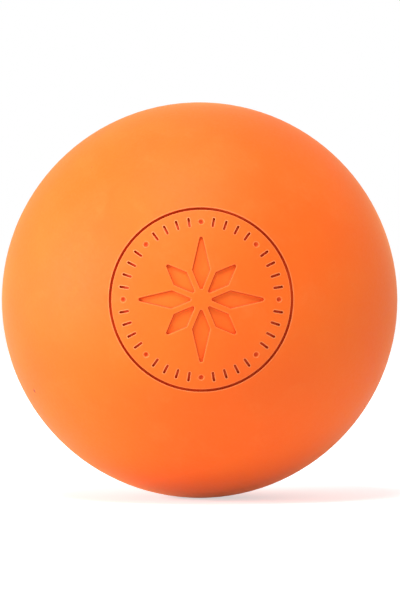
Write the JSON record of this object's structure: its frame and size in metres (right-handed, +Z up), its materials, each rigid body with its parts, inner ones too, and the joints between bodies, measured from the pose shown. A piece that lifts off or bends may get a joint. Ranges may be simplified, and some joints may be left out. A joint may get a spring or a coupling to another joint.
{
  "type": "lacrosse ball",
  "caption": "Solid moulded rubber ball for lacrosse, smooth and matte, with a fine parting line and a debossed star crest inside a ring groove.",
  "frame": {"origin": "centre of the ball", "axes": "+Z up as the crest is read; -Y along the mould's opening direction, out through the crest's centre; +X to the right as the crest is looked at"},
  "size_m": [0.0636, 0.0635, 0.0636],
  "materials": {
    "rubber": "matte moulded, orange"
  },
  "bodies": {
    "root": {"ball": "rubber"}
  },
  "joints": []
}
